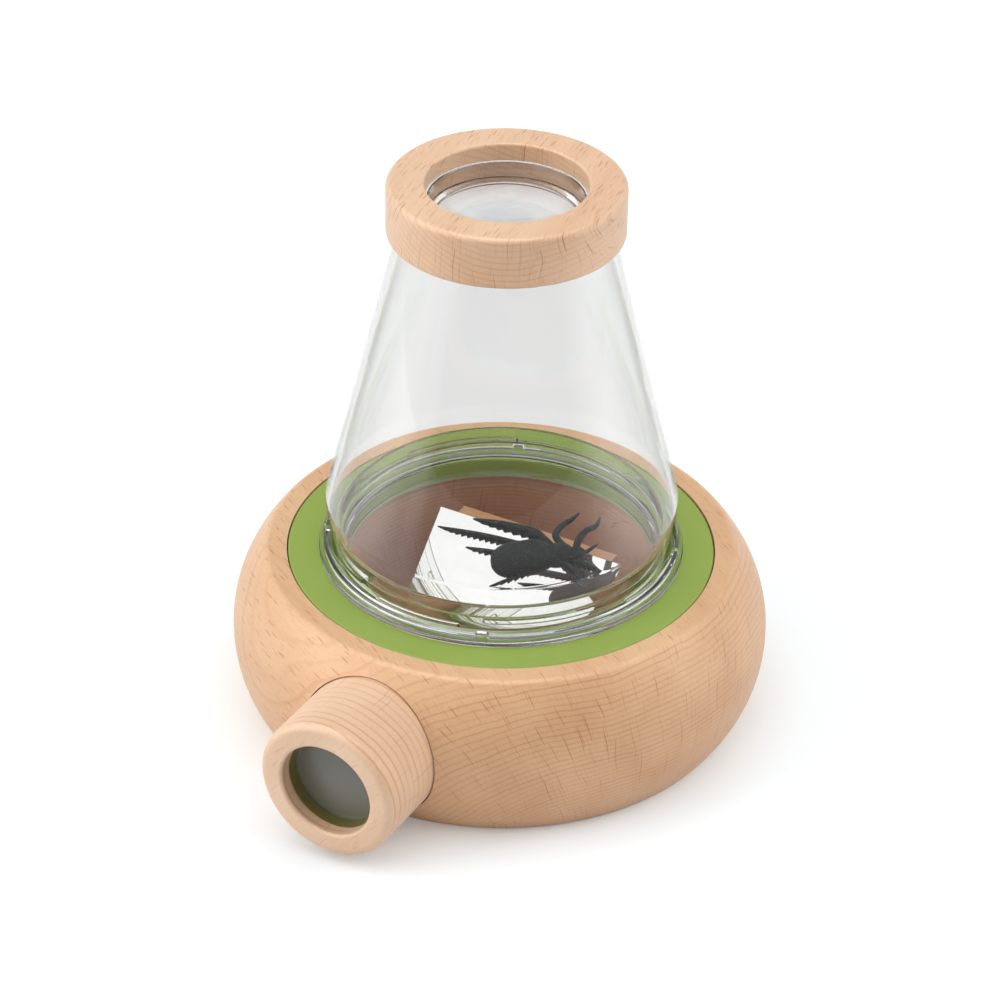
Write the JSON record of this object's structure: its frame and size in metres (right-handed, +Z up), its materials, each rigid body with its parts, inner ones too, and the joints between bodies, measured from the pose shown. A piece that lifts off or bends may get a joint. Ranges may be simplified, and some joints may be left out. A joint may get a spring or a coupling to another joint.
{
  "type": "bug viewer box",
  "caption": "Turned wooden bug viewer: clear bell and dish over a mirror, a side eyepiece for the view from below and a lens in the top ring.",
  "frame": {"origin": "centre of the base's flat underside", "axes": "+Z up through the top lens, the eyepiece points along -Y, +X to the right of someone who looks into it"},
  "size_m": [0.135, 0.1521, 0.1456],
  "materials": {
    "beech": "satin clear varnish",
    "green_plastic": "satin moulded",
    "olive_plastic": "satin moulded",
    "clear_plastic": "clear polished",
    "black_plastic": "grained moulded",
    "mirror": "silvered glass",
    "foam_tape": "soft white foam",
    "steel": "plain zinc"
  },
  "bodies": {
    "base": {"base_body": "beech", "cover_plate": "green_plastic", "mirror_block": "beech", "mirror_tape": "foam_tape", "mirror_glass": "mirror", "block_screws": "steel"},
    "eyepiece": {"eyepiece_barrel": "beech", "eyepiece_liner": "olive_plastic", "eyepiece_lens": "clear_plastic", "eyepiece_retainer": "olive_plastic"},
    "container": {"dish": "clear_plastic", "insect": "black_plastic"},
    "bell": {"dome": "clear_plastic", "top_lens": "clear_plastic", "lens_retainer": "clear_plastic", "top_ring": "beech"}
  },
  "joints": [
    {"name": "container_lift", "type": "slide", "parent": "base", "child": "container", "axis": [0, 0, 1], "range_m": [0, 0.06]},
    {"name": "dome_lift", "type": "slide", "parent": "container", "child": "bell", "axis": [0, 0, 1], "range_m": [0, 0.06]},
    {"name": "eyepiece_focus", "type": "slide", "parent": "base", "child": "eyepiece", "axis": [0, -1, 0], "range_m": [-0.0015, 0.006]}
  ]
}
